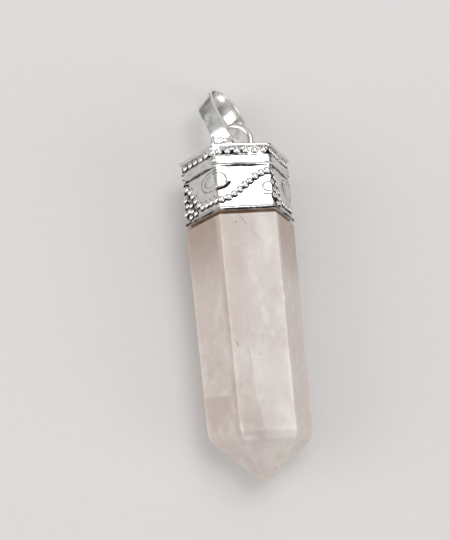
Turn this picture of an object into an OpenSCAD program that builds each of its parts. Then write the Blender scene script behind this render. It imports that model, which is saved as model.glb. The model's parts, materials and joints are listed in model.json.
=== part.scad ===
// Crystal point pendant, lying on a flat surface, in millimetres.
// The pieces are modelled upright, with the cap's lower edge at z = 0 and the point
// hanging below it, and lying() then lays them down as the pendant comes to rest:
// the point towards -Y, the bail towards +Y, the front face up.

/* [Stone] */
// Centre to corner at the stone's widest, just below the cap
stone_corner_r = 6.7; // [6.3:0.05:7.5]
// Centre to corner at the shoulder, where the point begins
stone_shoulder_r = 6.17; // [5.6:0.01:6.3]
// From the cap's lower edge down to the shoulder
stone_body_l = 26.1; // [18:0.1:34]
// How much lower the shoulder sits at its right corner than at its left
shoulder_skew = 0.6; // [0:0.1:1.2]
// Height of the six-sided point
point_h = 4.8; // [3:0.1:8]
// Centre to corner of the small flat that ends the point
point_flat_r = 0.5; // [0.3:0.05:1]
// How far each long edge is rubbed back along the faces
stone_edge = 0.2; // [0.1:0.05:0.25]
// Height of the bevel between the widest part and the tenon
neck_bevel_h = 0.45; // [0.3:0.05:1]
// How far each face steps in to the tenon that the cap covers
tenon_step = 0.54; // [0.4:0.02:0.7]

/* [Cap] */
// Height of the cap's stamped band
cap_h = 8.4; // [7.6:0.1:11]
// Thickness of the stamped band between its ornament
cap_wall = 0.35; // [0.3:0.05:0.6]
// Glue gap between the stone and the metal round it
glue_gap = 0.08; // [0.05:0.01:0.15]
// Thickness of the plate that closes the cap
plate_t = 0.6; // [0.5:0.05:1]
// How far the plate lies below the band's upper edge
plate_recess = 0.3; // [0.1:0.05:0.6]

/* [Ornament] */
// How far the rims and the ornament stand out from the band
relief_h = 0.28; // [0.2:0.02:0.34]
// Height of the plain lower rim
lower_rim_h = 0.55; // [0.3:0.05:0.7]
// Height of the plain upper rim
upper_rim_h = 0.42; // [0.3:0.02:0.7]
// Height of the channel that holds the row of beads
channel_h = 1; // [0.9:0.05:1.2]
// Height of the plain ridge below the row of beads
ridge_h = 1.1; // [0.6:0.1:1.4]
// How far the plain ridge stands out
ridge_out = 0.2; // [0.1:0.02:0.28]
// Number of beads in the row, on each side of the cap
row_beads = 6; // [5:1:7]
// Diameter of a bead in the row
row_bead_d = 0.8; // [0.5:0.02:0.8]
// Height of the wave's trough above the lower edge
wave_low = 1.45; // [1:0.05:1.5]
// How far the wave rises from trough to crest
wave_rise = 3.4; // [2.4:0.1:3.6]
// Share of a falling side over which the wave drops
wave_fall_share = 0.55; // [0.45:0.05:1]
// Diameter of a bead in the wave
wave_bead_d = 0.7; // [0.4:0.02:0.7]
// Distance between the wave's beads along it
wave_pitch = 0.88; // [0.8:0.01:1.2]
// Length of the large leaf that nests above each trough, round its corner
large_leaf_l = 4.2; // [3.2:0.1:4.6]
// Height of the large leaf
large_leaf_h = 2.3; // [1.4:0.1:2.4]
// From the corner to the middle of the large leaf, towards the side where the wave falls
large_leaf_shift = 0.8; // [0:0.1:0.9]
// Length of the small leaf that hangs under each crest, round its corner
small_leaf_l = 2.6; // [2:0.1:3]
// Height of the small leaf
small_leaf_h = 1.4; // [0.8:0.1:1.5]
// From the middle of the wave's beads to the edge of the leaf beside them
leaf_gap = 1.35; // [1.2:0.05:1.5]

/* [Ring] */
// Outer diameter of the soldered ring
ring_od = 5.7; // [5.4:0.1:6.6]
// Diameter of the ring's wire
ring_wire = 0.85; // [0.7:0.05:0.95]
// Angle from the front to the ring's plane, in degrees
ring_turn = 62; // [50:1:75]
// How deep the ring is set into the plate
ring_sink = 0.3; // [0.2:0.05:0.4]
// Height of the solder round the ring's foot
solder_h = 0.4; // [0.2:0.05:0.5]
// Width of the solder on the plate
solder_d = 3; // [2.4:0.1:3.6]

/* [Bail] */
// Overall length of the bail
bail_l = 10.2; // [9.4:0.1:12]
// Outer diameter of the bail's round end
bail_round_d = 7.2; // [6.4:0.1:8]
// Diameter of the hole's narrow end, where the ring's wire passes
bail_narrow_hole = 1.9; // [1.8:0.05:2.2]
// Width of the bail's strip
bail_strip_w = 2.4; // [2:0.1:2.6]
// Thickness of the bail's strip
bail_strip_t = 0.5; // [0.4:0.05:0.6]
// Angle from the ring's plane to the bail's hole, in degrees
bail_skew = 18; // [8:1:20]
// From the arch of the ring's wire to the centre of the bail's narrow end
bail_slack = 1.5; // [1.3:0.05:1.8]
// How far the bail has slid from the ring's middle towards its low side
bail_slip = 0.7; // [0.4:0.05:0.8]

/* [Hidden] */
SIDES = 6;
SIDE_ANGLE = 360 / SIDES;
$fn = 48;

// Distances from the axis to the middle of a flat side
stone_a = flat_of(stone_corner_r);
shoulder_a = flat_of(stone_shoulder_r);
tenon_a = stone_a - tenon_step;
hollow_a = tenon_a + glue_gap;
field_a = hollow_a + cap_wall;
cap_a = field_a + relief_h;

// Heights in the upright cap
plate_top = cap_h - plate_recess;
plate_bottom = plate_top - plate_t;
tenon_top = plate_bottom - glue_gap;
row_z = cap_h - upper_rim_h - channel_h / 2;
ridge_z = cap_h - upper_rim_h - channel_h - ridge_h;

// The side of the hexagon along the band, and where the wave runs on it
side_l = corner_of(field_a);
wave_high = wave_low + wave_rise;

// The ring's centreline
ring_r = (ring_od - ring_wire) / 2;
ring_z = plate_top - ring_sink + ring_od / 2;

// The bail's two round ends and the distance between their centres
narrow_r = bail_narrow_hole / 2 + bail_strip_t;
round_r = bail_round_d / 2;
bail_span = bail_l - narrow_r - round_r;
bail_roll = ring_turn - bail_skew;

// Rest: the cap's lower edge and the shoulder's lowest corner both touch the surface
far_x = stone_shoulder_r / 2 - stone_edge;
far_z = shoulder_z(far_x);
far_a = stone_a + (shoulder_a - stone_a) * shoulder_share(far_x);
rest_tilt = atan((cap_a - far_a) / -far_z);
rest_z = cap_a * cos(rest_tilt);

// The bail's narrow end hangs in the ring, and its round end droops until it touches the surface
ring_across = [sin(ring_turn), -cos(ring_turn), 0];
narrow_up = [0, 0, ring_z + ring_r - bail_slack] - bail_slip * ring_across;
narrow_rest = [narrow_up.x, laid_y(narrow_up), laid_z(narrow_up)];
bail_droop = touching_droop(0, 60, 30);

// The origin lies under the middle of the whole pendant's length
point_y = min([for (p = point_ring()) laid_y(p)]);
bail_y = narrow_rest.y + bail_span * cos(bail_droop) + round_reach(cos(bail_roll) * sin(bail_droop));
middle_y = (point_y + bail_y) / 2;

// Turns the distance to a corner into the distance to a flat side, and back
function flat_of(corner) = corner * cos(SIDE_ANGLE / 2);
function corner_of(flat) = flat / cos(SIDE_ANGLE / 2);

// Height of the shoulder above a place across the stone, and its share of the body's length
function shoulder_z(x) = -stone_body_l - shoulder_skew * x / (2 * stone_shoulder_r);
function shoulder_share(x) = (-shoulder_z(x) - neck_bevel_h) / (stone_body_l - neck_bevel_h);

// Place of an upright point once the pendant lies on its back face
function laid_y(p) = p.y * sin(rest_tilt) + p.z * cos(rest_tilt);
function laid_z(p) = -p.y * cos(rest_tilt) + p.z * sin(rest_tilt) + rest_z;

// Reach of the bail's round end along a direction whose share along the bail's hole is given
function round_reach(along) = abs(along) * bail_strip_w / 2 + round_r * sqrt(1 - along * along);

// Height of the lowest point of the bail's round end at a droop
function bail_low(droop) = narrow_rest.z - bail_span * sin(droop)
    - round_reach(cos(bail_roll) * cos(droop));

// Droop at which the round end touches the surface, by halving
function touching_droop(low, high, steps) =
    let (middle = (low + high) / 2)
    steps == 0 ? middle
    : bail_low(middle) > 0 ? touching_droop(middle, high, steps - 1)
    : touching_droop(low, middle, steps - 1);

// A hexagon whose corners are each cut back by stone_edge, as twelve points
function rubbed_hexagon(corner, z) = [
    for (k = [0 : SIDES - 1], turn = [-120, 120])
    let (at = k * SIDE_ANGLE)
    [corner * cos(at) + stone_edge * cos(at + turn), corner * sin(at) + stone_edge * sin(at + turn), z]
];

// The shoulder's ring slides along the stone's long edges, so that the long faces stay flat
function shoulder_ring() =
    let (top = rubbed_hexagon(stone_corner_r, -neck_bevel_h))
    let (bottom = rubbed_hexagon(stone_shoulder_r, -stone_body_l))
    [for (i = [0 : len(top) - 1]) top[i] + (bottom[i] - top[i]) * shoulder_share(bottom[i].x)];

// The small end flat is the shoulder's ring drawn in towards the apex
function point_ring() =
    let (share = point_flat_r / stone_shoulder_r)
    let (apex = [0, 0, -stone_body_l - point_h / (1 - share)])
    [for (p = shoulder_ring()) apex + share * (p - apex)];

// Height of the wave at a share of the way along a side
function rising_wave(t) = wave_low + wave_rise * (1 - cos(180 * t)) / 2;
function falling_wave(t) = wave_high - wave_rise * (1 - cos(180 * min(1, t / wave_fall_share))) / 2;
function wave_at(t, rising) = rising ? rising_wave(t) : falling_wave(t);

// Shares along a side at which the wave's beads sit, an even distance apart along the wave
function wave_stops(t, rising) =
    let (probe = 0.01)
    let (slope = (wave_at(t + probe, rising) - wave_at(t, rising)) / (probe * side_l))
    let (next = t + wave_pitch / (side_l * sqrt(1 + slope * slope)))
    t > 1 - wave_bead_d / 2 / side_l ? [] : concat([t], wave_stops(next, rising));

module hexagon(flat, h) {
    cylinder(r = corner_of(flat), h = h, $fn = SIDES);
}

// A closed shell through rings of points that run from the top down
module shell(rings) {
    n = len(rings[0]);
    last = len(rings) - 1;
    polyhedron(
        points = [for (ring = rings) each ring],
        faces = concat(
            [[for (j = [n - 1 : -1 : 0]) j]],
            [for (i = [0 : last - 1], j = [0 : n - 1])
                [i * n + j, i * n + (j + 1) % n, (i + 1) * n + (j + 1) % n, (i + 1) * n + j]],
            [[for (j = [0 : n - 1]) last * n + j]]
        )
    );
}

// Lays an upright piece down on the surface
module lying() {
    translate([0, -middle_y, rest_z]) rotate([rest_tilt - 90, 0, 0]) children();
}

// Local x runs along a side of the cap, y up it and z out of it
module on_side(i) {
    rotate([0, 0, i * SIDE_ANGLE]) translate([0, -field_a, 0]) rotate([90, 0, 0]) children();
}

// A bead whose crown stands out as far as the rims
module bead(x, y, d) {
    translate([x, y, relief_h - d / 2]) sphere(d = d);
}

// A smooth oval boss, a rod with round ends that is sunk in the band
module leaf(x, y, l, h) {
    rod_r = (pow(h / 2, 2) + relief_h * relief_h) / (2 * relief_h);
    reach = l / 2 - h / 2;
    translate([x, y, relief_h - rod_r]) {
        translate([-reach, 0, 0]) rotate([0, 90, 0]) cylinder(r = rod_r, h = 2 * reach);
        for (end = [-1, 1]) translate([end * reach, 0, 0]) sphere(r = rod_r);
    }
}

// The wedge of space that belongs to one side, between its two mitred corners
module side_wedge(i) {
    far = 2 * cap_a;
    rotate([0, 0, i * SIDE_ANGLE - 90]) linear_extrude(cap_h)
        polygon([[0, 0], far * [1, -tan(SIDE_ANGLE / 2)], far * [1, tan(SIDE_ANGLE / 2)]]);
}

module row_of_beads() {
    pitch = side_l / row_beads;
    for (k = [0 : row_beads - 1]) bead((k + 0.5) * pitch - side_l / 2, row_z, row_bead_d);
}

module wave_beads(rising) {
    start = wave_pitch / 2 / side_l;
    for (t = wave_stops(start, rising)) bead((t - 0.5) * side_l, wave_at(t, rising), wave_bead_d);
}

// Each leaf bends round a corner, so each side holds half of one at either end
module leaves(rising) {
    trough = rising ? -side_l / 2 : side_l / 2;
    leaf(trough - large_leaf_shift, wave_low + leaf_gap + large_leaf_h / 2, large_leaf_l, large_leaf_h);
    leaf(-trough, wave_high - leaf_gap - small_leaf_h / 2, small_leaf_l, small_leaf_h);
}

module side_ornament(i) {
    rising = i % 2 == 0;
    intersection() {
        side_wedge(i);
        on_side(i) {
            row_of_beads();
            wave_beads(rising);
            leaves(rising);
        }
    }
}

module rims() {
    hexagon(cap_a, lower_rim_h);
    translate([0, 0, ridge_z]) hexagon(field_a + ridge_out, ridge_h);
    translate([0, 0, cap_h - upper_rim_h]) hexagon(cap_a, upper_rim_h);
}

module band() {
    difference() {
        union() {
            hexagon(field_a, cap_h);
            rims();
            for (i = [0 : SIDES - 1]) side_ornament(i);
        }
        translate([0, 0, -1]) hexagon(hollow_a, cap_h + 2);
    }
}

module soldered_ring() {
    translate([0, 0, ring_z]) rotate([0, 0, ring_turn - 90]) rotate([90, 0, 0])
        rotate_extrude() translate([ring_r, 0]) circle(d = ring_wire, $fn = 24);
    translate([0, 0, plate_top - ring_sink]) cylinder(d1 = solder_d, d2 = ring_wire, h = ring_sink + solder_h);
}

// The outline of the bail's strip, or of its hole, at a depth inside the outline
module bail_outline(inset) {
    narrow = narrow_r - inset;
    wide = round_r - inset;
    lean = asin((wide - narrow) / bail_span);
    circle(r = narrow);
    translate([0, bail_span]) circle(r = wide);
    polygon([
        narrow * [cos(lean), -sin(lean)],
        [wide * cos(lean), bail_span - wide * sin(lean)],
        [-wide * cos(lean), bail_span - wide * sin(lean)],
        narrow * [-cos(lean), -sin(lean)]
    ]);
}

module crystal() {
    color("mistyrose") lying() shell([
        rubbed_hexagon(corner_of(tenon_a), tenon_top),
        rubbed_hexagon(corner_of(tenon_a), -glue_gap),
        rubbed_hexagon(stone_corner_r, -neck_bevel_h),
        shoulder_ring(),
        point_ring()
    ]);
}

module cap() {
    color("silver") lying() {
        band();
        translate([0, 0, plate_bottom]) hexagon(hollow_a + cap_wall / 2, plate_t);
        soldered_ring();
    }
}

module bail() {
    color("gainsboro")
    translate(narrow_rest - [0, middle_y, 0]) rotate([-bail_droop, 0, 0]) rotate([0, bail_roll, 0])
    linear_extrude(bail_strip_w, center = true) difference() {
        bail_outline(0);
        bail_outline(bail_strip_t);
    }
}

crystal();
cap();
bail();
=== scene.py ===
import json
import math

import bmesh
import bpy
import numpy as np
from mathutils import Matrix, Vector


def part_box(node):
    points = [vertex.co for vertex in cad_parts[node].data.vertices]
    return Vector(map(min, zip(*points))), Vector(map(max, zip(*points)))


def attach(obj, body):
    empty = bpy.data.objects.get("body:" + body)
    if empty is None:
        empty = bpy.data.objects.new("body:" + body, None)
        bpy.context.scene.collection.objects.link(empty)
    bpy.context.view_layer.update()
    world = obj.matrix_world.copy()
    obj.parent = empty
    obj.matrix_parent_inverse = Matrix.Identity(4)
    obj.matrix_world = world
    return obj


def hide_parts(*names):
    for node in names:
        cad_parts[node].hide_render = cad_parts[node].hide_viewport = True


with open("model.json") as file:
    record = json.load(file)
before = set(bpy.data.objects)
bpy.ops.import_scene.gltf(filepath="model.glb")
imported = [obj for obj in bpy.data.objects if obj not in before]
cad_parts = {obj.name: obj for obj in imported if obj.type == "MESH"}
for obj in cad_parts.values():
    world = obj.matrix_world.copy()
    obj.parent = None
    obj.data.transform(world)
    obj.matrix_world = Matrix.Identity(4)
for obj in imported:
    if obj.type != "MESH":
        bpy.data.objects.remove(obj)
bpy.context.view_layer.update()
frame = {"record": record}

# Camera: close above the pendant, a little to its left and towards its point, and turned so
# that the bail is at the top of the picture.
MM = 0.001
eye = Vector((-16.59, -28.38, 104.37)) * MM
looking = Vector((0.1366, 0.2726, -0.9524)).normalized()
picture_up = Vector((0.0559, 0.9577, 0.2822))
picture_right = looking.cross(picture_up).normalized()

lens = bpy.data.cameras.new("camera")
lens.sensor_fit = "VERTICAL"
lens.sensor_height = 24
lens.lens = 37.78
lens.clip_start = 5 * MM
camera = bpy.data.objects.new("camera", lens)
turned = Matrix((picture_right, picture_right.cross(looking), -looking)).transposed()
camera.matrix_world = Matrix.Translation(eye) @ turned.to_4x4()
bpy.context.scene.collection.objects.link(camera)
bpy.context.scene.camera = camera

# Crystal: one point of milky quartz, ground with six long faces and a blunt six-sided point. Wear
# has dulled its edges and rounded its shoulder. Its narrow tenon is glued into the cap. The stone
# and the cap are made upright, with the cap's lower edge at 0, and then laid down.
SIDES = 6
TURN = 2 * math.pi / SIDES
stone_corner = 6.7 * MM
shoulder_corner = 6.17 * MM
tenon_corner = 6.076 * MM
tenon_top = 7.42 * MM
neck_top = -0.08 * MM
neck_low = -0.45 * MM
shoulder_low = -26.1 * MM
shoulder_skew = 0.6 * MM
point_height = 4.8 * MM
point_flat = 0.5 * MM
edge_wear = 0.04 * MM
shoulder_wear = 0.65 * MM
ground_edge = math.radians(20)
rest_tilt = math.radians(1.3786)
rim_flat = 5.972 * MM
axis_height = rim_flat * math.cos(rest_tilt)
cap_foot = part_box("cap")[0].y + rim_flat * math.sin(rest_tilt)

# Chips at the point: a place on each, in millimetres, and the way that it faces.
chips = [
    ((-0.15, -25.25, 5.9), (-0.55, -0.75, 0.35)),
    ((0.25, -25.3, 5.4), (0.5, -0.8, 0.3)),
]

# Tints of the stone, its cracks, stains and pits, and of the painted light, shade and shadow on it.
body = (0.55, 0.475, 0.43, 1)
milky = (0.63, 0.57, 0.54, 1)
white = (0.80, 0.765, 0.74, 1)
tan = (0.46, 0.355, 0.28, 1)
warm_bounce_tint = (0.70, 0.60, 0.545, 1)
shaded = (0.37, 0.265, 0.205, 1)
rim_shadow_brown = (0.33, 0.20, 0.13, 1)
crack_brown = (0.25, 0.17, 0.13, 1)
pale_olive = (0.50, 0.44, 0.20, 1)
olive = (0.33, 0.30, 0.14, 1)
pit_dark = (0.15, 0.10, 0.085, 1)
chip_white = (1.0, 0.96, 0.90, 1)
worn_white = (0.78, 0.77, 0.76, 1)

# Shares of a tint where it is laid over the stone, painted light and shade among them.
warm_bounce_share = 0.6
side_shade = 0.75
front_shade = 0.1
upper_tan_share = 0.42
rim_shadow_share = 0.85
pale_share = 0.24
lower_tan_share = 0.35
worn_share = 0.05

# Veils in the stone: stretch along it, turn, scale, roughness and distortion of the pattern, where
# it sets in and is full, strength and tint.
veils = [
    (0.6, (0.3, 0.2, 0.5), 0.7, 0.55, 0.5, 0.46, 0.74, 0.4, white),
    (0.7, (0.1, 0.5, 0.2), 0.4, 0.55, 0.4, 0.5, 0.78, 0.35, tan),
    (0.8, (0.2, 0.1, 0.3), 1.6, 0.6, 0.0, 0.4, 0.7, 0.14, white),
]

# Planes through the stone, each by a place in millimetres and a turn in degrees: the one that the
# front face lies above, one near the middle of that face, and three healed cracks.
front_plane = ((0, -15, 10.25), (0, -87.6, -90))
middle_plane = ((-1.4, 0, 11), (0, 0, 180))
upper_crack = ((-1.2, -13.9, 10.9), (0, 0, 3.5))
lower_crack = ((-0.7, -18.1, 10.8), (0, 0, 9))
left_crack = ((-4.6, -15.8, 8), (0, 0, -101))
crack_blur = 0.12

# Stretches along the stone, in millimetres, over which its colour or its painted shade changes.
cap_shade = (-6.0, 5.0)
rim_shadow_line = (4.86, 5.0)
upper_tan = (-17.0, -9.0)
lower_pale = (-9.0, -13.0)
lower_tan = (-22.0, -17.0)

# Marks in the stone: place and half size in millimetres, turn in degrees, tint and strength.
# Stains are soft to their middle. Specks are pits, fine cracks and a chip, with a clear rim.
stains = [
    ((1.5, -23.0, 8.3), (1.3, 1.5, 1.3), 0, pale_olive, 0.8),
    ((-2.1, -21.1, 10.5), (1.6, 0.8, 1.0), -12, white, 0.7),
    ((-2.9, -19.8, 10.6), (0.3, 1.0, 0.6), 8, white, 0.6),
    ((2.9, -20.2, 10.6), (1.6, 2.4, 1.0), 0, white, 0.5),
    ((3.3, -14.9, 10.9), (0.6, 3.6, 0.8), -2, white, 0.45),
    ((1.8, 2.5, 11.4), (1.6, 4.5, 1.0), 0, white, 0.55),
    ((-4.3, -15.5, 9.1), (1.4, 0.5, 1.4), -12, white, 0.5),
    ((-1.7, -1.3, 11.3), (1.3, 2.8, 1.2), 12, tan, 0.42),
    ((-0.9, -5.0, 11.2), (1.6, 2.6, 1.2), 0, tan, 0.25),
    ((0.8, -22.8, 8.8), (4.0, 3.4, 4.0), 0, white, 0.55),
    ((-1.6, -24.0, 7.5), (2.0, 2.2, 1.8), 0, tan, 0.15),
    ((-2.0, -18.4, 10.4), (1.6, 2.4, 1.5), 0, tan, 0.2),
]
specks = [
    ((-1.5, 3.9, 11.6), (0.17, 0.15, 0.4), 0, pit_dark, 0.85),
    ((1.6, 4.5, 11.6), (0.13, 0.12, 0.4), 0, pit_dark, 0.7),
    ((-0.2, -11.7, 11.0), (0.14, 0.17, 0.4), 0, pit_dark, 0.4),
    ((1.0, -24.2, 7.0), (0.2, 0.2, 0.3), 0, olive, 0.75),
    ((-0.6, 4.1, 11.6), (0.09, 1.25, 0.4), 36, pit_dark, 0.5),
    ((0.7, 2.3, 11.5), (0.07, 2.5, 0.4), 37, pit_dark, 0.3),
    ((-1.9, 3.6, 11.5), (0.05, 0.9, 0.4), 24, pit_dark, 0.22),
    ((-1.3, -12.3, 10.9), (0.09, 2.6, 0.6), 4, crack_brown, 0.35),
    ((-2.6, -10.4, 11.0), (0.15, 0.5, 0.4), 12, olive, 0.8),
    ((3.4, -5.4, 11.2), (0.2, 0.75, 0.4), 4, chip_white, 0.85),
]


def laid(points):
    """Upright places, z along the pendant, where they are once it lies on its back face."""
    x, y, z = np.asarray(points, float).T
    along = y * math.sin(rest_tilt) + z * math.cos(rest_tilt) + cap_foot
    height = z * math.sin(rest_tilt) - y * math.cos(rest_tilt) + axis_height
    return np.column_stack((x, along, height))


def make_piece(name, places, faces, material, smooth=True):
    """A mesh object from its places and faces, in one material."""
    mesh = bpy.data.meshes.new(name)
    mesh.from_pydata([tuple(p) for p in places], [], faces)
    mesh.materials.append(material)
    mesh.polygons.foreach_set("use_smooth", [smooth] * len(mesh.polygons))
    mesh.update()
    piece = bpy.data.objects.new(name, mesh)
    bpy.context.scene.collection.objects.link(piece)
    return piece


def made_plain(piece):
    """Turns a piece with live modifiers into a plain mesh."""
    seen = piece.evaluated_get(bpy.context.evaluated_depsgraph_get())
    mesh = bpy.data.meshes.new_from_object(seen)
    piece.modifiers.clear()
    piece.data = mesh
    mesh.name = piece.name
    return piece


def new_material(name):
    material = bpy.data.materials.new(name)
    material.use_nodes = True
    tree = material.node_tree
    return material, tree, tree.nodes["Principled BSDF"]


def add_node(tree, kind, inputs=(), **settings):
    """A node with its settings, and its inputs set to values or linked to other sockets."""
    made = tree.nodes.new(kind)
    for name, value in settings.items():
        setattr(made, name, value)
    for key, value in dict(inputs).items():
        if isinstance(value, bpy.types.NodeSocket):
            tree.links.new(value, made.inputs[key])
        else:
            made.inputs[key].default_value = value
    return made


def math_node(tree, operation, *values):
    return add_node(tree, "ShaderNodeMath", dict(enumerate(values)), operation=operation).outputs[0]


def product(tree, first, *others):
    for other in others:
        first = math_node(tree, "MULTIPLY", first, other)
    return first


def mix_colour(tree, share, first, second):
    inputs = {0: share, 6: first, 7: second}
    return add_node(tree, "ShaderNodeMix", inputs, data_type="RGBA").outputs[2]


def ranged(tree, value, low, high, to_low=0.0, to_high=1.0):
    """A smooth change from one result to another while the value goes from low to high."""
    inputs = {"Value": value, "From Min": low, "From Max": high, "To Min": to_low, "To Max": to_high}
    return add_node(tree, "ShaderNodeMapRange", inputs, interpolation_type="SMOOTHSTEP").outputs[0]


def in_millimetres(tree, stretch=(1, 1, 1), turn=(0, 0, 0)):
    """Object coordinates in millimetres, stretched and turned for a pattern."""
    place = add_node(tree, "ShaderNodeTexCoord").outputs["Object"]
    inputs = {"Vector": place, "Rotation": turn, "Scale": [s / MM for s in stretch]}
    return add_node(tree, "ShaderNodeMapping", inputs).outputs[0]


def noise(tree, place, scale, detail=3.0, roughness=0.55, distortion=0.0):
    inputs = {"Vector": place, "Scale": scale, "Detail": detail}
    inputs.update({"Roughness": roughness, "Distortion": distortion})
    return add_node(tree, "ShaderNodeTexNoise", inputs).outputs["Fac"]


def about_place(tree, place, half_size=(1, 1, 1), turn=(0, 0, 0)):
    """Coordinates about a place in millimetres, turned by degrees, 1 at the half size."""
    inputs = {
        "Vector": add_node(tree, "ShaderNodeTexCoord").outputs["Object"],
        "Location": [c * MM for c in place],
        "Rotation": [math.radians(a) for a in turn],
        "Scale": [s * MM for s in half_size],
    }
    return add_node(tree, "ShaderNodeMapping", inputs, vector_type="TEXTURE").outputs[0]


def beyond(tree, plane, blur):
    """1 on the local +X side of a plane through the stone and 0 on the other, blurred at it."""
    place, turn = plane
    x = add_node(tree, "ShaderNodeSeparateXYZ", {0: about_place(tree, place, turn=turn)}).outputs["X"]
    return ranged(tree, x, -blur, blur)


def mark(tree, place, half_size, turn, core):
    """1 within the core of an oval mark in the stone, falling to 0 at its rim."""
    inside = about_place(tree, place, half_size, (0, 0, turn))
    reach = add_node(tree, "ShaderNodeVectorMath", {0: inside}, operation="LENGTH").outputs["Value"]
    return ranged(tree, reach, core, 1.0, 1.0, 0.0)


def marked(tree, colour, marks, core):
    """A colour with a table of marks laid over it."""
    for place, half_size, turn, tint, strength in marks:
        share = product(tree, mark(tree, place, half_size, turn, core), strength)
        colour = mix_colour(tree, share, colour, tint)
    return colour


def clouded(tree, on_front):
    """Milky clouds and finer veils in the stone, with a painted warm light on its faces off the front."""
    clouds = noise(tree, in_millimetres(tree, (1, 0.5, 1)), 0.2, roughness=0.5, distortion=0.4)
    colour = mix_colour(tree, ranged(tree, clouds, 0.3, 0.68), body, milky)
    # Painted warm light: the faces off the front are tinted warmer, as if warm light fell on them.
    colour = mix_colour(tree, ranged(tree, on_front, 0.0, 1.0, warm_bounce_share, 0.0), colour, warm_bounce_tint)
    for stretch, turn, scale, roughness, distortion, sets_in, full, strength, tint in veils:
        place = in_millimetres(tree, (1, stretch, 1), turn)
        veil = noise(tree, place, scale, 4.0, roughness, distortion)
        colour = mix_colour(tree, ranged(tree, veil, sets_in, full, 0.0, strength), colour, tint)
    return colour


def darkened_at_cap(tree, colour, along, on_front):
    """Painted shade of the cap on the stone, most on its side faces, tan at the upper left, and a painted
    shadow just under the cap's rim.
    """
    # Painted shade: the stone darkens towards the cap, most of all on its side faces.
    shade = ranged(tree, on_front, 0.0, 1.0, side_shade, front_shade)
    under_cap = product(tree, ranged(tree, along, *cap_shade), shade)
    colour = mix_colour(tree, under_cap, colour, shaded)
    leftwards = product(tree, beyond(tree, middle_plane, 2.4), on_front)
    upper_left = product(tree, leftwards, ranged(tree, along, *upper_tan), upper_tan_share)
    colour = mix_colour(tree, upper_left, colour, tan)
    # Painted shadow: a thin brown band on the stone just under the cap's rim, where the rim shades it.
    return mix_colour(tree, ranged(tree, along, *rim_shadow_line, 0.0, rim_shadow_share), colour, rim_shadow_brown)


def cracked(tree, colour, along, on_front):
    """Healed cracks: the front is paler past two of them, and the left face browner past one."""
    past_upper = beyond(tree, upper_crack, crack_blur)
    past_lower = beyond(tree, lower_crack, crack_blur)
    past_both = math_node(tree, "MINIMUM", past_upper, past_lower)
    paler = product(tree, past_both, ranged(tree, along, *lower_pale), on_front, pale_share)
    colour = mix_colour(tree, paler, colour, white)
    past_left = beyond(tree, left_crack, crack_blur)
    left_face = mark(tree, (-5.2, -17, 7.5), (2.6, 5, 4), 0, 0.6)
    browner = product(tree, past_left, ranged(tree, along, *lower_tan), left_face, lower_tan_share)
    return mix_colour(tree, browner, colour, tan)


def quartz_colour(tree):
    along = add_node(tree, "ShaderNodeSeparateXYZ", {0: in_millimetres(tree)}).outputs["Y"]
    on_front = beyond(tree, front_plane, 0.45)
    colour = clouded(tree, on_front)
    colour = darkened_at_cap(tree, colour, along, on_front)
    colour = cracked(tree, colour, along, on_front)
    colour = marked(tree, colour, stains, 0.0)
    return marked(tree, colour, specks, 0.35)


def bumped(tree, surface, broad, fine, fine_share, strength, depth):
    """Gives a surface a broad unevenness with a fine one on it."""
    height = math_node(tree, "ADD", broad, math_node(tree, "MULTIPLY", fine, fine_share))
    inputs = {"Height": height, "Strength": strength, "Distance": depth}
    tree.links.new(add_node(tree, "ShaderNodeBump", inputs).outputs[0], surface.inputs["Normal"])


def quartz_material(name, worn):
    """Milky quartz, polished, or dulled and whitened where an edge has worn."""
    material, tree, surface = new_material(name)
    colour = quartz_colour(tree)
    if worn:
        colour = mix_colour(tree, worn_share, colour, worn_white)
    tree.links.new(colour, surface.inputs["Base Color"])
    surface.inputs["Roughness"].default_value = 0.28 if worn else 0.17
    surface.inputs["IOR"].default_value = 1.54
    surface.inputs["Subsurface Weight"].default_value = 1.0
    surface.inputs["Subsurface Radius"].default_value = (1.0, 0.9, 0.84)
    surface.inputs["Subsurface Scale"].default_value = 2.2 * MM
    ripple = noise(tree, in_millimetres(tree), 0.35, detail=2)
    grain = noise(tree, in_millimetres(tree, (6, 1, 6), (0.1, 0.1, 0.3)), 2.0)
    bumped(tree, surface, ripple, grain, 0.03, 0.3, 0.2 * MM)
    return material


def stone_ring(corner, z):
    return [(corner * math.cos(k * TURN), corner * math.sin(k * TURN), z) for k in range(SIDES)]


def shoulder_ring():
    """The stone's long edges, followed down to a shoulder that is a little lower on its right."""
    ring = []
    for top, low in zip(stone_ring(stone_corner, neck_low), stone_ring(shoulder_corner, shoulder_low)):
        z = shoulder_low - shoulder_skew * low[0] / (2 * shoulder_corner)
        share = (neck_low - z) / (neck_low - shoulder_low)
        ring.append(tuple(a + (b - a) * share for a, b in zip(top, low)))
    return ring


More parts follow.
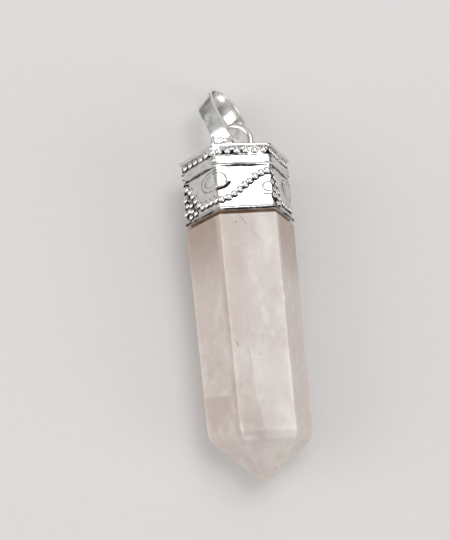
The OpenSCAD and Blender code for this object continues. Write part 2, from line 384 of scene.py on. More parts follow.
def make_crystal():
    shoulder = shoulder_ring()
    flat_share = point_flat / shoulder_corner
    apex = (0, 0, shoulder_low - point_height / (1 - flat_share))
    rings = [
        stone_ring(tenon_corner, tenon_top),
        stone_ring(tenon_corner, neck_top),
        stone_ring(stone_corner, neck_low),
        shoulder,
        [tuple(e + flat_share * (a - e) for a, e in zip(p, apex)) for p in shoulder],
    ]
    places = laid([p for ring in rings for p in ring])
    faces = [list(range(SIDES)), [SIDES * len(rings) - 1 - k for k in range(SIDES)]]
    for i in range(len(rings) - 1):
        for k in range(SIDES):
            a, b = i * SIDES + k, i * SIDES + (k + 1) % SIDES
            faces.append([a, a + SIDES, b + SIDES, b])
    stone = make_piece("crystal_point", places, faces, quartz_material("milky quartz", False))
    stone.data.materials.append(quartz_material("worn quartz", True))
    work = bmesh.new()
    work.from_mesh(stone.data)
    bmesh.ops.recalc_face_normals(work, faces=work.faces)
    ring_index = rings.index(shoulder)
    around = [e for e in work.edges if all(v.index // SIDES == ring_index for v in e.verts)]
    bmesh.ops.bevel(work, geom=around, offset=shoulder_wear, segments=6, profile=0.5, affect="EDGES")
    for place, facing in chips:
        everything = work.verts[:] + work.edges[:] + work.faces[:]
        plane = {"plane_co": Vector(place) * MM, "plane_no": facing}
        cut = bmesh.ops.bisect_plane(work, geom=everything, clear_outer=True, **plane)
        rim = [e for e in cut["geom_cut"] if isinstance(e, bmesh.types.BMEdge)]
        bmesh.ops.contextual_create(work, geom=rim)
    weight = work.edges.layers.float.new("bevel_weight_edge")
    for edge in work.edges:
        edge[weight] = 1.0 if edge.calc_face_angle(0.0) > ground_edge else 0.0
    work.to_mesh(stone.data)
    work.free()
    bevel = stone.modifiers.new("worn edges", "BEVEL")
    bevel.limit_method = "WEIGHT"
    bevel.width = edge_wear
    bevel.segments = 3
    bevel.material = 1
    shade = stone.modifiers.new("flat faces stay flat", "WEIGHTED_NORMAL")
    shade.keep_sharp = True
    made_plain(stone)
    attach(stone, "root")
    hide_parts("crystal")


make_crystal()

# Cap: a band of thin brass, stamped with rims, a beaded row and a scroll, bent round the
# stone, closed by a plate and silver-plated. The plating is bright, with painted shade in its
# hollows, under its raised forms and over its side faces.
field = 5.692 * MM
inner_flat = 5.342 * MM
cap_height = 8.4 * MM
plate_top = 8.1 * MM
plate_low = 7.5 * MM
corner_round = 0.35 * MM
relief = 0.28 * MM
flare = 0.2 * MM
side_length = 2 * field * math.tan(TURN / 2)
half_side = side_length / 2
side_columns = 80
corner_columns = 8
# Painted shade over every face of the band but the front, and the share of the hollows' painted shade kept
# there.
side_face_shade = 0.3
side_relief_shade = 0.5

# The stamping, from the band's lower edge upwards: where each form is, and how high or deep.
roll_wander = 0.05 * MM
face_wander = 0.022 * MM
low_rim = (-0.03 * MM, 0.57 * MM)
corner_creases = (4.75 * MM, 5.2 * MM, 6.0 * MM, 6.62 * MM)
groove = 5.62 * MM
groove_width = 0.12 * MM
groove_depth = 0.13 * MM
ridge_foot = (5.74 * MM, 5.96 * MM)
ridge_brow = (6.97 * MM, 6.82 * MM)
ridge_height = 0.15 * MM
scored_line = 6.28 * MM
scored_width = 0.08 * MM
scored_depth = 0.04 * MM
channel = (6.95 * MM, 7.95 * MM)
channel_depth = 0.1 * MM
row_height = 7.48 * MM
top_rim = (7.9 * MM, 8.5 * MM)

# Lines of painted shade that run straight round the band, each by its height and its width, and the
# stretches where the channel's painted shade begins, gets weaker and ends.
rim_foot_line = (0.16 * MM, 0.14 * MM)
rim_back_line = (0.64 * MM, 0.07 * MM)
groove_shade = 5.6 * MM
crease_width = 0.06 * MM
scored_shade = (scored_line, 0.05 * MM)
channel_foot = (6.96 * MM, 7.08 * MM)
channel_deep = (7.7 * MM, 7.4 * MM)
channel_brow = (8.02 * MM, 7.9 * MM)

# The scroll: a wave that rises on one side and falls on the next, and its leaves. The corner is
# hatched beside a falling wave, where a cluster of beads fills the space under it.
wave_low = 1.45 * MM
wave_rise = 3.4 * MM
wave_fall_share = 0.55
wave_pitch = 0.88 * MM
dash_pitch = 0.86 * MM
dash_above = 0.56 * MM
dash_width = 0.08 * MM
leaf_shift = 0.8 * MM
leaf_height = 3.95 * MM
leaf_size = (4.2 * MM, 2.3 * MM)
vein_depth = 0.05 * MM
small_leaf_height = 2.8 * MM
small_leaf_size = (2.6 * MM, 1.4 * MM)
bar_height = 1.9 * MM
bar_width = 0.1 * MM
bar_start = (2.0 * MM, 2.2 * MM)
bar_end = (3.25 * MM, 3.1 * MM)
hatch_pitch = 0.16 * MM
hatch_height = 0.05 * MM
hatch_side = (-2.0 * MM, -2.3 * MM)
hatch_foot = (0.7 * MM, 0.9 * MM)
hatch_top = (6.0 * MM, 5.6 * MM)
ground_depth = 0.04 * MM
ground_reach = (0.62 * MM, 0.5 * MM)
pit_depth = 0.05 * MM
pit_reach = (0.68 * MM, 0.5 * MM)

# The cluster's beads: across the side and up it, in millimetres.
cluster = [
    (-3.2, 3.35), (-2.8, 2.55), (-2.1, 2.4), (-2.6, 1.75),
    (-1.9, 1.6), (-3.25, 1.6), (-2.25, 0.95), (-1.35, 1.15),
]
cluster_spots = np.array(cluster).T * MM


def silver_material(name, dullest, dent):
    """Bright silver plate, darkened by painted shade in the hollows, with shallow dents and fine scratches.
    """
    bright = (0.93, 0.915, 0.89, 1)
    dull = (0.70, 0.64, 0.57, 1)
    shade_black = (0.014, 0.011, 0.011, 1)
    material, tree, surface = new_material(name)
    surface.inputs["Metallic"].default_value = 1.0
    # Painted shade: a stored darkness draws the plate towards black in the hollows and under raised forms.
    painted_shade = add_node(tree, "ShaderNodeAttribute", attribute_name="painted_shade").outputs["Fac"]
    patches = noise(tree, in_millimetres(tree), 1.1, detail=4)
    painted_shade = math_node(tree, "MULTIPLY", painted_shade, ranged(tree, patches, 0.2, 0.6, 0.7, 1.0))
    painted_shade = ranged(tree, painted_shade, 0.05, 0.8)
    plate = mix_colour(tree, ranged(tree, patches, 0.45, 0.75, 0.0, 0.16), bright, dull)
    tree.links.new(mix_colour(tree, painted_shade, plate, shade_black), surface.inputs["Base Color"])
    plate_rough = ranged(tree, patches, 0.3, 0.7, 0.6 * dullest, dullest)
    rough = math_node(tree, "ADD", plate_rough, math_node(tree, "MULTIPLY", painted_shade, 0.4))
    tree.links.new(rough, surface.inputs["Roughness"])
    dents = noise(tree, in_millimetres(tree), 1.3, detail=2)
    scratches = noise(tree, in_millimetres(tree, (1, 9, 4), (0.3, 0.2, 0.7)), 2.2)
    bumped(tree, surface, dents, scratches, 0.05, 0.35, dent)
    return material


def roll(z, low, high, height):
    """A rounded ridge between two heights on the band."""
    share = (2 * z - low - high) / (high - low)
    return height * np.sqrt(np.clip(1 - share ** 2, 0, 1))


def rise(value, low, high):
    """0 before low and 1 past high, with a smooth rise or fall between."""
    share = np.clip((value - low) / (high - low), 0, 1)
    return share * share * (3 - 2 * share)


def line(value, middle, width):
    """1 on a line, fading to 0 beside it."""
    return np.exp(-((value - middle) / width) ** 2)


def wander(turn, z, seed):
    """A smooth uneven change, about -1 to 1, round the cap and up it: waves of many lengths."""
    chance = np.random.default_rng(seed)
    total = 0.0
    for length in np.geomspace(0.7 * MM, 5 * MM, 14):
        slant, start = chance.uniform(0, 2 * math.pi, 2)
        around = round(2 * math.pi * field / length * math.cos(slant))
        upwards = 2 * math.pi / length * math.sin(slant)
        total = total + 0.2 * np.sin(around * turn + upwards * z + start)
    return total


def wave(share, rising):
    """Height of the scroll's wave at a share of a side."""
    if rising:
        return wave_low + wave_rise * (1 - np.cos(np.pi * share)) / 2
    drop = np.minimum(1, share / wave_fall_share)
    return wave_low + wave_rise * (1 + np.cos(np.pi * drop)) / 2


def above_wave(x, z, rising):
    """How far a place on a side is above the wave, at right angles to it."""
    probe = 0.01
    share = x / side_length + 0.5
    slope = (wave(share + probe, rising) - wave(share - probe, rising)) / (2 * probe * side_length)
    return (z - wave(share, rising)) / np.sqrt(1 + slope ** 2)


def leaf(x, z, middle, length, height):
    """How far a place is from the middle of a leaf, across, up and in all, 1 at its edge."""
    across = (x - middle[0]) / (length / 2)
    up = (z - middle[1]) / (height / 2)
    return across, up, (np.abs(across) ** 2.3 + np.abs(up) ** 2.3) ** (1 / 2.3)


def evenly(x, z, pitch):
    """Spots about a pitch apart along a line."""
    run = np.concatenate(([0], np.cumsum(np.hypot(np.diff(x), np.diff(z)))))
    count = max(1, round(run[-1] / pitch))
    at = (np.arange(count) + 0.5) * run[-1] / count
    return np.interp(at, run, x), np.interp(at, run, z)


def wave_spots(rising):
    """Where the beads of the wave are on a side."""
    share = np.linspace(0, 1, 80)
    return evenly((share - 0.5) * side_length, wave(share, rising), wave_pitch)


def nearest(x, z, spots):
    """How far each place is from the nearest of some spots."""
    return np.min([np.hypot(x - a, z - b) for a, b in zip(*spots)], axis=0)


def straight_stamping(x, z, turn, drift):
    """Height and painted shade of what runs straight round the band: rims, groove, ridge, channel."""
    level = z + roll_wander * wander(turn, 0, 2)
    edge = np.abs(x)
    height = roll(level, *low_rim, relief)
    height += ridge_height * rise(level, *ridge_foot) * rise(level, *ridge_brow)
    height += roll(level, *top_rim, relief)
    height -= scored_depth * line(level, scored_line, scored_width)
    height -= groove_depth * line(level, groove, groove_width)
    height -= roll(level, *channel, channel_depth)
    height += face_wander * drift * rise(z, 0.5 * MM, 0.9 * MM)

    # Painted shade in the groove, on the rim's foot, in the scored line, the corner creases and the channel.
    spread = (0.07 + 0.1 * rise(edge, 2.9 * MM, 0.8 * MM)) * MM
    in_groove = np.clip(1.3 * line(level, groove_shade, spread), 0, 0.8)
    in_groove = in_groove * rise(edge, 3.2 * MM, 2.9 * MM)
    under_rim = line(z, *rim_foot_line) * np.clip(0.8 + 0.4 * drift, 0.4, 1)
    over_rim = 0.35 * line(level, *rim_back_line)
    in_score = 0.4 * line(level, *scored_shade) * rise(drift, -0.1, 0.5)
    at_corner = rise(edge, 2.5 * MM, 2.9 * MM)
    in_creases = [0.8 * line(level, crease, crease_width) * at_corner for crease in corner_creases]
    deep = 0.5 + 0.5 * rise(level, *channel_deep)
    gloom = 0.85 + 0.8 * drift + 0.4 * rise(x, 0.5 * MM, -1.5 * MM)
    in_channel = rise(level, *channel_foot) * rise(level, *channel_brow)
    in_channel = in_channel * deep * np.clip(gloom, 0.15, 1)
    return height, np.max([in_groove, under_rim, over_rim, in_score, in_channel, *in_creases], axis=0)


def scroll_stamping(height, x, z, turn, rising):
    """Height and painted shade with the ground under the wave, the dashes over it and the leaves."""
    above = above_wave(x, z, rising)
    ground = rise(nearest(x, z, wave_spots(rising)), *ground_reach)
    ground = ground * rise(above, 0.1 * MM, -0.15 * MM)
    height = height - ground_depth * ground
    on_ground = ground * np.clip(1.0 + 0.5 * wander(turn, z, 3), 0.35, 1)
    dashes = rise(np.cos(2 * np.pi * x / dash_pitch), 0.1, 0.7)
    over_wave = 0.75 * dashes * line(above, dash_above, dash_width)

    trough = -half_side if rising else half_side
    across, up, far = leaf(x, z, (trough - leaf_shift, leaf_height), *leaf_size)
    vein = vein_depth * line(far, 0.62, 0.06) * rise(across, 0.1, -0.3)
    height = np.maximum(height, 0.5 * relief * rise(far, 1.0, 0.86) - vein)
    # Painted shadow under each leaf's lower edge, and painted shade round its rim and in its vein.
    under_leaf = line(far, 1.1, 0.16) * rise(up, 0.0, -0.4) * rise(across, 0.1, 0.4)
    round_leaf = 0.6 * line(far, 1.02, 0.05) * rise(across, 0.2, -0.2)
    in_vein = 0.5 * line(far, 0.62, 0.05) * rise(across, 0.1, -0.3)
    over_leaf = 0.6 * dashes * line(far, 1.02, 0.05) * rise(up, 0.5, 0.8)

    across, up, far = leaf(x, z, (-trough, small_leaf_height), *small_leaf_size)
    height = np.maximum(height, 0.4 * relief * rise(far, 1.0, 0.75))
    over_small = 0.65 * line(far, 0.98, 0.06) * rise(up, 0.0, 0.3)
    layers = [on_ground, over_wave, under_leaf, round_leaf, in_vein, over_leaf, over_small]
    return height, np.max(layers, axis=0)


def band_relief(side, x, z):
    """Height and painted shade of the stamping at a place on a side, x from its middle."""
    rising = side % 2 == 0
    turn = side * TURN + np.arctan(x / field)
    drift = wander(turn, z, 1)
    height, straight_dark = straight_stamping(x, z, turn, drift)
    height, scroll_dark = scroll_stamping(height, x, z, turn, rising)
    dark = np.maximum(straight_dark, scroll_dark)
    hatch_dark = 0.0
    if rising:
        # Painted shadow: a dark bar under the small leaf.
        bar = line(z, bar_height, bar_width) * rise(x, *bar_start) * rise(x, *bar_end)
        dark = np.maximum(dark, 0.8 * bar)
    else:
        # Painted shade in the hatching's strokes and round the cluster's beads.
        strokes = rise(np.sin((z + 0.6 * x) / hatch_pitch + 2 * drift), 0.0, 0.5)
        hatched = rise(x, *hatch_side) * rise(z, *hatch_foot) * rise(z, *hatch_top)
        hatch_dark = (0.35 + 0.6 * strokes) * hatched
        height += hatch_height * strokes * hatched
        pit = rise(nearest(x, z, cluster_spots), *pit_reach)
        height -= pit_depth * pit
        dark = np.maximum(dark, 0.85 * pit * np.clip(0.8 + 0.6 * drift, 0.2, 1))
    # Painted shade: faces other than the front are darkened evenly, and keep less of the hollows' painted
    # shade.
    if side % SIDES:
        dark = side_face_shade + side_relief_shade * dark
    return height, np.clip(np.maximum(dark, hatch_dark), 0, 1)


def band_columns():
    """Round the cap: where each column stands, which way it faces, its side and its place there."""
    columns = []
    core = field - corner_round
    core_half = core * math.tan(TURN / 2)
    for side in range(SIDES):
        facing = side * TURN
        out = np.array([math.sin(facing), -math.cos(facing)])
        right = np.array([math.cos(facing), math.sin(facing)])
        for share in np.linspace(-1, 1, side_columns):
            columns.append((core * out + share * core_half * right, out, side, share * core_half))
        turning = core * out + core_half * right
        for share in np.linspace(0, 1, corner_columns + 2)[1:-1]:
            angle = facing + share * TURN
            into = (half_side - core_half) * (2 * share if share < 0.5 else 2 - 2 * share)
            on_next = share >= 0.5
            x = -(core_half + into) if on_next else core_half + into
            columns.append((turning, np.array([math.sin(angle), -math.cos(angle)]), side + on_next, x))
    return columns


def band_rows():
    """Heights of the grid's rows, closer where an edge is sharp."""
    stretches = [
        (0, 0.7, 15),
        (0.7, 5.4, 68),
        (5.4, 6.1, 13),
        (6.1, 6.85, 12),
        (6.85, 8.1, 24),
        (8.1, 8.4, 8),
    ]
    rows = [np.linspace(low, high, count, endpoint=False) for low, high, count in stretches]
    top = stretches[-1][1]
    return np.append(np.concatenate(rows), top) * MM


def make_band(metal):
    """The band and its plate as one closed mesh, a fine grid outside and plain walls inside."""
    columns = band_columns()
    rows = band_rows()
    places = []
    darkness = []
    for base, out, side, x in columns:
        height, dark = band_relief(side, np.full_like(rows, x), rows)
        turn = math.atan2(out[0], -out[1])
        spread = flare * line(abs(turn), math.pi / 2, 0.5) * rows / cap_height
        reach = corner_round + height + spread
        places.append(np.column_stack((base[0] + out[0] * reach, base[1] + out[1] * reach, rows)))
        darkness.append(dark)
    count, tall = len(columns), len(rows)
    outer = np.array(places)
    facing = np.round(np.arctan2(outer[:, 0, 0], -outer[:, 0, 1]) / TURN) * TURN
    flat = outer[:, 0, 0] * np.sin(facing) - outer[:, 0, 1] * np.cos(facing)
    inner = outer[:, 0, :2] * (inner_flat / flat)[:, None]
    upper = [np.column_stack((inner, np.full(count, z))) for z in (cap_height, plate_top)]
    lower = [np.column_stack((inner, np.full(count, z))) for z in (plate_low, 0.0)]
    loops = [outer[:, j] for j in range(tall)] + upper
    points = np.concatenate(loops + lower)
    faces = []

    def join(a, b):
        for k in range(count):
            n = (k + 1) % count
            faces.append((a * count + k, a * count + n, b * count + n, b * count + k))

    for level in range(len(loops) - 1):
        join(level, level + 1)
    faces.append([(len(loops) - 1) * count + k for k in range(count)])
    join(len(loops), len(loops) + 1)
    join(len(loops) + 1, 0)
    faces.append([len(loops) * count + k for k in reversed(range(count))])
    band = make_piece("cap_band", laid(points), faces, metal)
    # The stamping's painted shade is stored on the mesh for the silver to read.
    painted_shade = band.data.attributes.new("painted_shade", "FLOAT", "POINT")
    values = np.zeros(len(points), np.float32)
    values[:count * tall] = np.array(darkness).T.ravel()
    painted_shade.data.foreach_set("value", values)
    band.data.set_sharp_from_angle(angle=math.radians(50))
    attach(band, "root")
    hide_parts("cap")


plated = silver_material("silver plate", 0.14, 0.06 * MM)
make_band(plated)

# Beads: stamped with the band from the same sheet, so each is a low round crown that stands out of
# it. A row runs round the cap in its channel, a line follows the wave of the scroll, and a cluster
# sits at each hatched corner. The old die has left them uneven, and painted shade darkens their lower
# halves.
row_bead = 0.86 * MM
row_count = 6
row_pitch = side_length / row_count
wave_bead = 0.86 * MM
cluster_bead = 0.74 * MM
bead_crown = 0.64
least_bead = 0.9
most_bead = 1.14
bead_segments = 14
bead_rings = 9


def bead_tree():
    """Beads on given spots, each standing the way that its spot faces."""
    tree = bpy.data.node_groups.new("stamped beads", "GeometryNodeTree")
    kinds = {"Spots": "Geometry", "Diameter": "Float", "Wander": "Float", "Seed": "Int", "Metal": "Material"}
    for name, kind in kinds.items():
        tree.interface.new_socket(name, in_out="INPUT", socket_type="NodeSocket" + kind)
    tree.interface.new_socket("Beads", in_out="OUTPUT", socket_type="NodeSocketGeometry")
    given = tree.nodes.new("NodeGroupInput").outputs
    back = math_node(tree, "MULTIPLY", given["Wander"], -1.0)
    inputs = {0: back, 1: given["Wander"], 8: given["Seed"]}
    shift = add_node(tree, "FunctionNodeRandomValue", inputs, data_type="FLOAT_VECTOR").outputs[0]
    inputs = {"Geometry": given["Spots"], "Offset": shift}
    moved = add_node(tree, "GeometryNodeSetPosition", inputs).outputs[0]
    radius = math_node(tree, "DIVIDE", given["Diameter"], 2.0)
    inputs = {"Segments": bead_segments, "Rings": bead_rings, "Radius": radius}
    bead = add_node(tree, "GeometryNodeMeshUVSphere", inputs).outputs[0]
    smooth = add_node(tree, "GeometryNodeSetShadeSmooth", {0: bead}).outputs[0]
    place = add_node(tree, "GeometryNodeInputPosition").outputs[0]
    _, y, z = add_node(tree, "ShaderNodeSeparateXYZ", {0: place}).outputs
    # Painted shade: each bead is darkened at its foot and on its lower side, as if lit from above.
    towards_light = math_node(tree, "DIVIDE", math_node(tree, "MULTIPLY_ADD", y, 0.45, z), radius)
    inputs = {"Geometry": smooth, "Name": "painted_shade", "Value": ranged(tree, towards_light, 0.05, 0.5, 0.7, 0.0)}
    kept = {"data_type": "FLOAT", "domain": "POINT"}
    lower_side_shaded = add_node(tree, "GeometryNodeStoreNamedAttribute", inputs, **kept).outputs[0]
    kept = {"data_type": "FLOAT_VECTOR"}
    outward = add_node(tree, "GeometryNodeInputNamedAttribute", {"Name": "outward"}, **kept).outputs[0]
    inputs = {"Vector": outward}
    facing = add_node(tree, "FunctionNodeAlignRotationToVector", inputs, axis="Z").outputs[0]
    least = (least_bead, least_bead, least_bead * bead_crown)
    most = (most_bead, most_bead, bead_crown)
    inputs = {0: least, 1: most, 8: given["Seed"]}
    uneven = add_node(tree, "FunctionNodeRandomValue", inputs, data_type="FLOAT_VECTOR").outputs[0]
    inputs = {"Points": moved, "Instance": lower_side_shaded, "Rotation": facing, "Scale": uneven}
    placed = add_node(tree, "GeometryNodeInstanceOnPoints", inputs).outputs[0]
    real = add_node(tree, "GeometryNodeRealizeInstances", {0: placed}).outputs[0]
    inputs = {"Geometry": real, "Material": given["Metal"]}
    finished = add_node(tree, "GeometryNodeSetMaterial", inputs).outputs[0]
    tree.links.new(finished, tree.nodes.new("NodeGroupOutput").inputs["Beads"])
    return tree


stamped_beads = bead_tree()


def on_side(side, x, z, diameter):
    """Upright places of beads on a side of the cap, and the way that the side faces."""
    facing = side * TURN
    outward = np.array([math.sin(facing), -math.cos(facing), 0])
    right = np.array([math.cos(facing), math.sin(facing), 0])
    depth = field + relief - bead_crown * diameter / 2
    places = np.outer(x, right) + depth * outward + np.outer(z, (0, 0, 1))
    return places, np.tile(outward, (len(places), 1))


def make_beads(name, spots, diameter, wander_by, seed):
    """One group of beads: a mesh of its spots, with the tree of beads on it, made plain."""
    places = np.concatenate([s[0] for s in spots])
    facing = np.concatenate([s[1] for s in spots])
    mesh = bpy.data.meshes.new(name)
    mesh.from_pydata([tuple(p) for p in laid(places)], [], [])
    outward = mesh.attributes.new("outward", "FLOAT_VECTOR", "POINT")
    outward.data.foreach_set("vector", (laid(facing) - laid([(0, 0, 0)])).ravel())
    beads = bpy.data.objects.new(name, mesh)
    bpy.context.scene.collection.objects.link(beads)
    modifier = beads.modifiers.new("beads", "NODES")
    modifier.node_group = stamped_beads
    chosen = {"Diameter": diameter, "Wander": wander_by, "Seed": seed, "Metal": plated}
    for socket in stamped_beads.interface.items_tree:
        if socket.in_out == "INPUT" and socket.name in chosen:
            modifier[socket.identifier] = chosen[socket.name]
    made_plain(beads)
    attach(beads, "root")
    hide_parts("cap")


row_places = []
wave_places = []
cluster_places = []
for side in range(SIDES):
    x = (np.arange(row_count) + 0.5) * row_pitch - half_side
    row_places.append(on_side(side, x, np.full(row_count, row_height), row_bead))
    wave_places.append(on_side(side, *wave_spots(side % 2 == 0), wave_bead))
    if side % 2 == 1:
        cluster_places.append(on_side(side, *cluster_spots, cluster_bead))
make_beads("cap_bead_row", row_places, row_bead, 0.05 * MM, 3)
make_beads("cap_bead_wave", wave_places, wave_bead, 0.04 * MM, 5)
make_beads("cap_bead_cluster", cluster_places, cluster_bead, 0.06 * MM, 7)

# Seam: where the band's two ends meet, at a corner of the front, silver solder has run over the
# upper rim and the row of beads and set in lumps, with a small loop and a spike above the rim.
seam_stand = 0.36
seam_lean = 0.1

# Lumps of solder: across the front and up it, and radius, in millimetres.
seam_lumps = [
    (-3.4, 7.35, 0.42), (-3.35, 7.9, 0.5), (-2.8, 7.8, 0.44), (-2.75, 8.2, 0.48),
    (-2.2, 8.25, 0.46), (-1.65, 8.35, 0.42), (-1.15, 8.4, 0.3), (-3.35, 8.4, 0.38),
    (-3.32, 8.75, 0.3), (-3.28, 9.1, 0.24), (-3.22, 9.4, 0.18), (-2.95, 9.32, 0.17),
    (-2.6, 9.25, 0.18), (-2.25, 9.12, 0.24), (-1.85, 8.95, 0.32), (-1.4, 8.75, 0.26),
]


def make_seam():
    """The lumps of solder, melted together into one skin."""
    work = bmesh.new()
    for x, z, radius in seam_lumps:
        over_rim = max(0.0, z - cap_height / MM)
        depth = min(0.0, seam_stand - radius) - seam_lean * over_rim
        place = Vector(laid([(x * MM, -(field + depth * MM), z * MM)])[0])
        shape = Matrix.Translation(place) @ Matrix.Diagonal((1, 1.05, 0.9, 1))
        bmesh.ops.create_icosphere(work, subdivisions=3, radius=radius * MM, matrix=shape)
    mesh = bpy.data.meshes.new("cap_seam")
    work.to_mesh(mesh)
    work.free()
    mesh.materials.append(plated)
    seam = bpy.data.objects.new("cap_seam", mesh)
    bpy.context.scene.collection.objects.link(seam)
    melt = seam.modifiers.new("melted together", "REMESH")
    melt.mode = "VOXEL"
    melt.voxel_size = 0.07 * MM
    melt.use_smooth_shade = True
    soften = seam.modifiers.new("softened", "SMOOTH")
    soften.iterations = 20
    made_plain(seam)
    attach(seam, "root")
    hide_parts("cap")


make_seam()

# Ring: round silver-plated wire, closed, set on the plate and soldered at its foot, with the
# solder drawn up round the wire. It carries the bail.
ring_outer = 5.7 * MM
ring_wire = 0.85 * MM
ring_turn = math.radians(62)
ring_sink = 0.3 * MM
ring_radius = (ring_outer - ring_wire) / 2
ring_middle = plate_top - ring_sink + ring_outer / 2
ring_steps = 96
wire_steps = 20
solder_radius = 1.5 * MM
solder_height = 0.55 * MM
solder_sink = 0.05 * MM
solder_rings = 14
solder_steps = 40


def recalculate(piece):
    """Turns a closed mesh's faces outwards."""
    work = bmesh.new()
    work.from_mesh(piece.data)
    bmesh.ops.recalc_face_normals(work, faces=work.faces)
    work.to_mesh(piece.data)
    work.free()


def make_ring():
    """A round wire bent to a circle, standing on the plate and turned a little round it."""
    across = np.array([math.sin(ring_turn), -math.cos(ring_turn), 0])
    up = np.array([0, 0, 1.0])
    through = np.cross(across, up)
    places = []
    faces = []
    for i in range(ring_steps):
        a = 2 * math.pi * i / ring_steps
        out = math.cos(a) * across + math.sin(a) * up
        for j in range(wire_steps):
            b = 2 * math.pi * j / wire_steps
            wire = ring_wire / 2 * (math.cos(b) * out + math.sin(b) * through)
            places.append(ring_radius * out + wire + (0, 0, ring_middle))
            k, n, m = i * wire_steps, (i + 1) % ring_steps * wire_steps, (j + 1) % wire_steps
            faces.append((k + j, n + j, n + m, k + m))
    ring = make_piece("cap_ring", laid(places), faces, plated)
    recalculate(ring)
    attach(ring, "root")
    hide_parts("cap")


def make_solder():
    """A lumpy mound of solder at the ring's foot, flat underneath, where it is on the plate."""
    foot = plate_top - solder_sink
    places = [(0, 0, plate_top + solder_height)]
    for i in range(1, solder_rings + 1):
        share = i / solder_rings
        z = foot + (solder_height + solder_sink) * (1 - share) ** 1.6
        for j in range(solder_steps):
            a = 2 * math.pi * j / solder_steps
            lump = 1 + 0.12 * math.sin(2 * a + 0.6) + 0.07 * math.sin(5 * a)
            r = solder_radius * share * lump
            places.append((r * math.cos(a), r * math.sin(a), z))
    base = len(places)
    places.append((0, 0, foot - solder_sink))
    faces = [(0, 1 + j, 1 + (j + 1) % solder_steps) for j in range(solder_steps)]
    for i in range(solder_rings - 1):
        start = 1 + i * solder_steps
        for j in range(solder_steps):
            a, b = start + j, start + (j + 1) % solder_steps
            faces.append((a, a + solder_steps, b + solder_steps, b))
    last = 1 + (solder_rings - 1) * solder_steps
    faces += [(last + j, base, last + (j + 1) % solder_steps) for j in range(solder_steps)]
    solder = make_piece("cap_solder", laid(places), faces, plated)
    recalculate(solder)
    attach(solder, "root")
    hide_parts("cap")


make_ring()
make_solder()

# Bail: one flat strip of plated brass bent to a teardrop, its narrow end closed round the ring
# and its round end open for a cord or chain. It has drooped until the round end touches down.
bail_length = 10.2 * MM
bail_round = 7.2 * MM
bail_narrow = 2.9 * MM
bail_bow = 0.1 * MM
strip_width = 2.4 * MM
strip_thick = 0.5 * MM
strip_edge = 0.13 * MM
strip_step = 0.2 * MM
strip_uneven = 0.03 * MM
round_stops = 60
narrow_stops = 26
hole = frame["record"]["mounts"][0]
hole_axis = Vector(hole["axis"]).normalized()
hole_middle = Vector(hole["pos_m"])


def teardrop():
    """The middle of the strip round the bail, and the way that it faces there, in its own plane."""
    narrow = (bail_narrow - strip_thick) / 2
    wide = (bail_round - strip_thick) / 2
    span = bail_length - bail_narrow / 2 - bail_round / 2
    lean = math.asin((wide - narrow) / span)
    stops = []
    for angle in np.linspace(-lean, math.pi + lean, round_stops):
        out = Vector((math.cos(angle), math.sin(angle)))
        stops.append((wide * out, out))
    for angle in np.linspace(math.pi + lean, 2 * math.pi - lean, narrow_stops):
        out = Vector((math.cos(angle), math.sin(angle)))
        stops.append((Vector((0, -span)) + narrow * out, out))
    filled = []
    for (place, out), (following, _) in zip(stops, stops[1:] + stops[:1]):
        pieces = max(1, round((following - place).length / strip_step))
        on_arm = pieces > 5
        for k in range(pieces):
            share = k / pieces
            bow = bail_bow * 4 * share * (1 - share) if on_arm else 0.0
            filled.append((place.lerp(following, share) + bow * out, out))
    return filled


def strip_section():
    """The strip's rounded section: across its thickness and along its width."""
    half_t, half_w = strip_thick / 2, strip_width / 2
    section = []
    for quarter, (side, end) in enumerate(((1, 1), (-1, 1), (-1, -1), (1, -1))):
        for step in np.linspace(0, math.pi / 2, 5):
            angle = quarter * math.pi / 2 + step
            thick = side * (half_t - strip_edge) + strip_edge * math.cos(angle)
            wide = end * (half_w - strip_edge) + strip_edge * math.sin(angle)
            section.append((thick, wide))
    return section


def make_bail(metal):
    """The strip swept round the teardrop, a little uneven, with its hole where the mount is."""
    droop = math.atan2(hole_axis.y, hole_axis.z)
    along = Vector((0, math.cos(droop), -math.sin(droop)))
    across = along.cross(hole_axis)
    stops = teardrop()
    section = strip_section()
    places = []
    faces = []
    for i, (place, out) in enumerate(stops):
        round_it = 2 * math.pi * i / len(stops)
        uneven = strip_uneven * (math.sin(3 * round_it + 1) + 0.6 * math.sin(7 * round_it))
        outward = across * out.x + along * out.y
        middle = hole_middle + across * place.x + along * place.y + outward * min(0.0, uneven)
        for j, (thick, wide) in enumerate(section):
            places.append(middle + outward * thick + hole_axis * wide)
            k, n = i * len(section), (i + 1) % len(stops) * len(section)
            m = (j + 1) % len(section)
            faces.append((k + j, n + j, n + m, k + m))
    bail = make_piece("bail_strip", places, faces, metal)
    recalculate(bail)
    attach(bail, "root")
    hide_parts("bail")


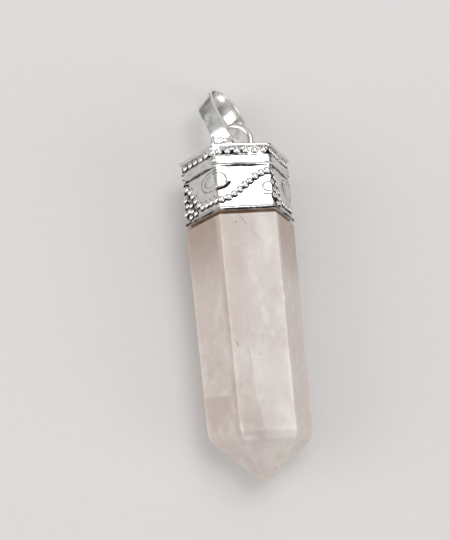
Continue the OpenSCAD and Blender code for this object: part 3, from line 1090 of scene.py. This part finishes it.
make_bail(silver_material("silver strip", 0.27, 0.02 * MM))

# Floor: a wide pale grey matt board that the pendant lies on.
board_reach = 0.9
board_colour = (0.74, 0.72, 0.70, 1)
board_shade = 0.96


def make_floor():
    material, tree, surface = new_material("pale board")
    fibre = noise(tree, in_millimetres(tree), 0.8, detail=4)
    darker = tuple(board_shade * c for c in board_colour[:3]) + (1,)
    tree.links.new(mix_colour(tree, fibre, board_colour, darker), surface.inputs["Base Color"])
    surface.inputs["Roughness"].default_value = 0.75
    corners = [(-1, -1), (1, -1), (1, 1), (-1, 1)]
    places = [(board_reach * x, board_reach * y, 0) for x, y in corners]
    make_piece("floor", places, [(0, 1, 2, 3)], material, smooth=False)


make_floor()

# Light: a large soft box above the front face, which the silver and the stone mirror, one on each
# side, and a dim room, lighter overhead, for the darker parts of the metal.
studio = [
    ("key box", (0.075, 0.125, 0.43), 0.26, 2.9),
    ("left box", (-0.43, -0.04, 0.21), 0.34, 2.1),
    ("right box", (0.43, -0.2, 0.24), 0.28, 2.1),
]
for name, place, size, brightness in studio:
    light = bpy.data.lights.new(name, "AREA")
    light.size = size
    light.energy = brightness * math.pi * size * size
    lamp = bpy.data.objects.new(name, light)
    lamp.location = place
    lamp.rotation_euler = Vector(place).to_track_quat("Z", "Y").to_euler()
    bpy.context.scene.collection.objects.link(lamp)


def make_room():
    room = bpy.data.worlds.new("room")
    room.use_nodes = True
    tree = room.node_tree
    background = tree.nodes["Background"]
    background.inputs["Color"].default_value = (0.97, 0.975, 1.0, 1)
    way = add_node(tree, "ShaderNodeTexCoord").outputs["Generated"]
    height = add_node(tree, "ShaderNodeSeparateXYZ", {0: way}).outputs["Z"]
    walls = ranged(tree, height, 0.05, 0.8, 0.12, 0.75)
    things = ranged(tree, noise(tree, way, 1.7, detail=1), 0.35, 0.65, 0.65, 1.25)
    tree.links.new(math_node(tree, "MULTIPLY", walls, things), background.inputs["Strength"])
    bpy.context.scene.world = room


make_room()
bpy.context.scene.view_settings.view_transform = "Standard"
